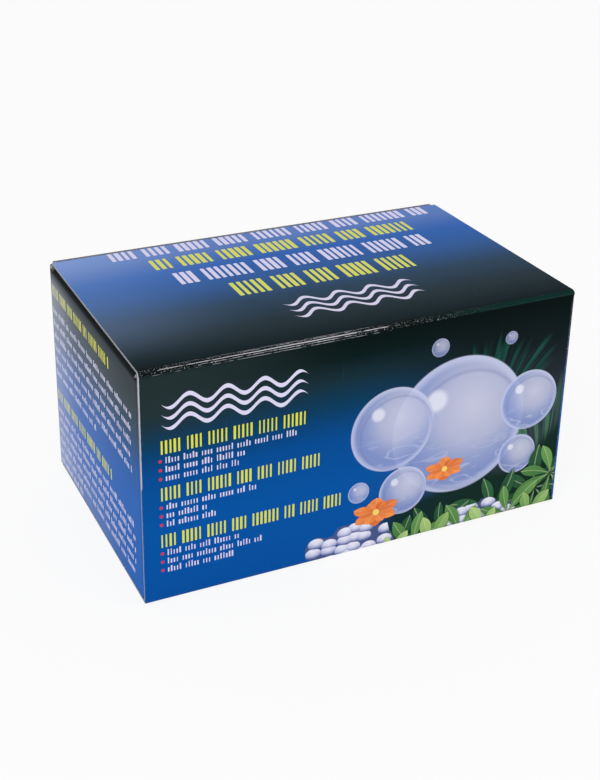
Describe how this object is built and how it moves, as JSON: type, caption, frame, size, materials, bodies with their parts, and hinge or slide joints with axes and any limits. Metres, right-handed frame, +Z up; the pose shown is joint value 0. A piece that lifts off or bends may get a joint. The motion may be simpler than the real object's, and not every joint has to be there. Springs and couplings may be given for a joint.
{
  "type": "fish breeding box in its retail carton",
  "caption": "Lidded micro-flute carton holding a clear floating fish breeding tank with side floats, slotted V plates, a divider and a lift-off lid.",
  "frame": {"origin": "centre of the carton's footprint, on the surface it stands on", "axes": "+X along the carton's length to the right as seen from the printed front, +Y from the front (the lid's hinge side) to the back, +Z up"},
  "size_m": [0.204, 0.124, 0.108],
  "materials": {
    "printed_board": "gloss varnished print",
    "plain_board": "uncoated board",
    "clear_tank": "clear polystyrene",
    "clear_cap": "clear polystyrene",
    "clear_lid": "clear polystyrene",
    "clear_insert": "clear polystyrene"
  },
  "bodies": {
    "root": {"front_panel": "printed_board", "back_panel": "printed_board", "left_end_panel": "printed_board", "right_end_panel": "printed_board", "seam_flap": "plain_board", "front_bottom_flap": "printed_board", "back_bottom_flap": "printed_board", "left_bottom_flap": "plain_board", "right_bottom_flap": "plain_board", "tank": "clear_tank", "left_float_cap": "clear_cap", "right_float_cap": "clear_cap", "front_v_plate": "clear_insert", "back_v_plate": "clear_insert", "divider": "clear_insert"},
    "lid": {"lid_panel": "printed_board"},
    "tuck": {"tuck_flap": "printed_board"},
    "dust_left": {"left_dust_flap": "printed_board"},
    "dust_right": {"right_dust_flap": "printed_board"},
    "tank_cover": {"tank_lid": "clear_lid"}
  },
  "joints": [
    {"name": "lid_fold", "type": "hinge", "parent": "root", "child": "lid", "pos_m": [0, -0.062, 0.108], "axis": [1, 0, 0], "range_deg": [0, 230]},
    {"name": "tuck_fold", "type": "hinge", "parent": "lid", "child": "tuck", "pos_m": [0, 0.0604, 0.108], "axis": [1, 0, 0], "range_deg": [0, 34.5]},
    {"name": "left_dust_fold", "type": "hinge", "parent": "root", "child": "dust_left", "pos_m": [-0.102, 0, 0.1065], "axis": [0, -1, 0], "range_deg": [0, 115]},
    {"name": "right_dust_fold", "type": "hinge", "parent": "root", "child": "dust_right", "pos_m": [0.102, 0, 0.1065], "axis": [0, 1, 0], "range_deg": [0, 115]},
    {"name": "tank_lid_lift", "type": "slide", "parent": "root", "child": "tank_cover", "axis": [0, 0, 1], "range_m": [0, 0.004]}
  ],
  "couplings": [
    {"joint": "tuck_fold", "follows": "lid_fold", "ratio": 0.15},
    {"joint": "left_dust_fold", "follows": "lid_fold", "ratio": 0.5},
    {"joint": "right_dust_fold", "follows": "lid_fold", "ratio": 0.5}
  ]
}
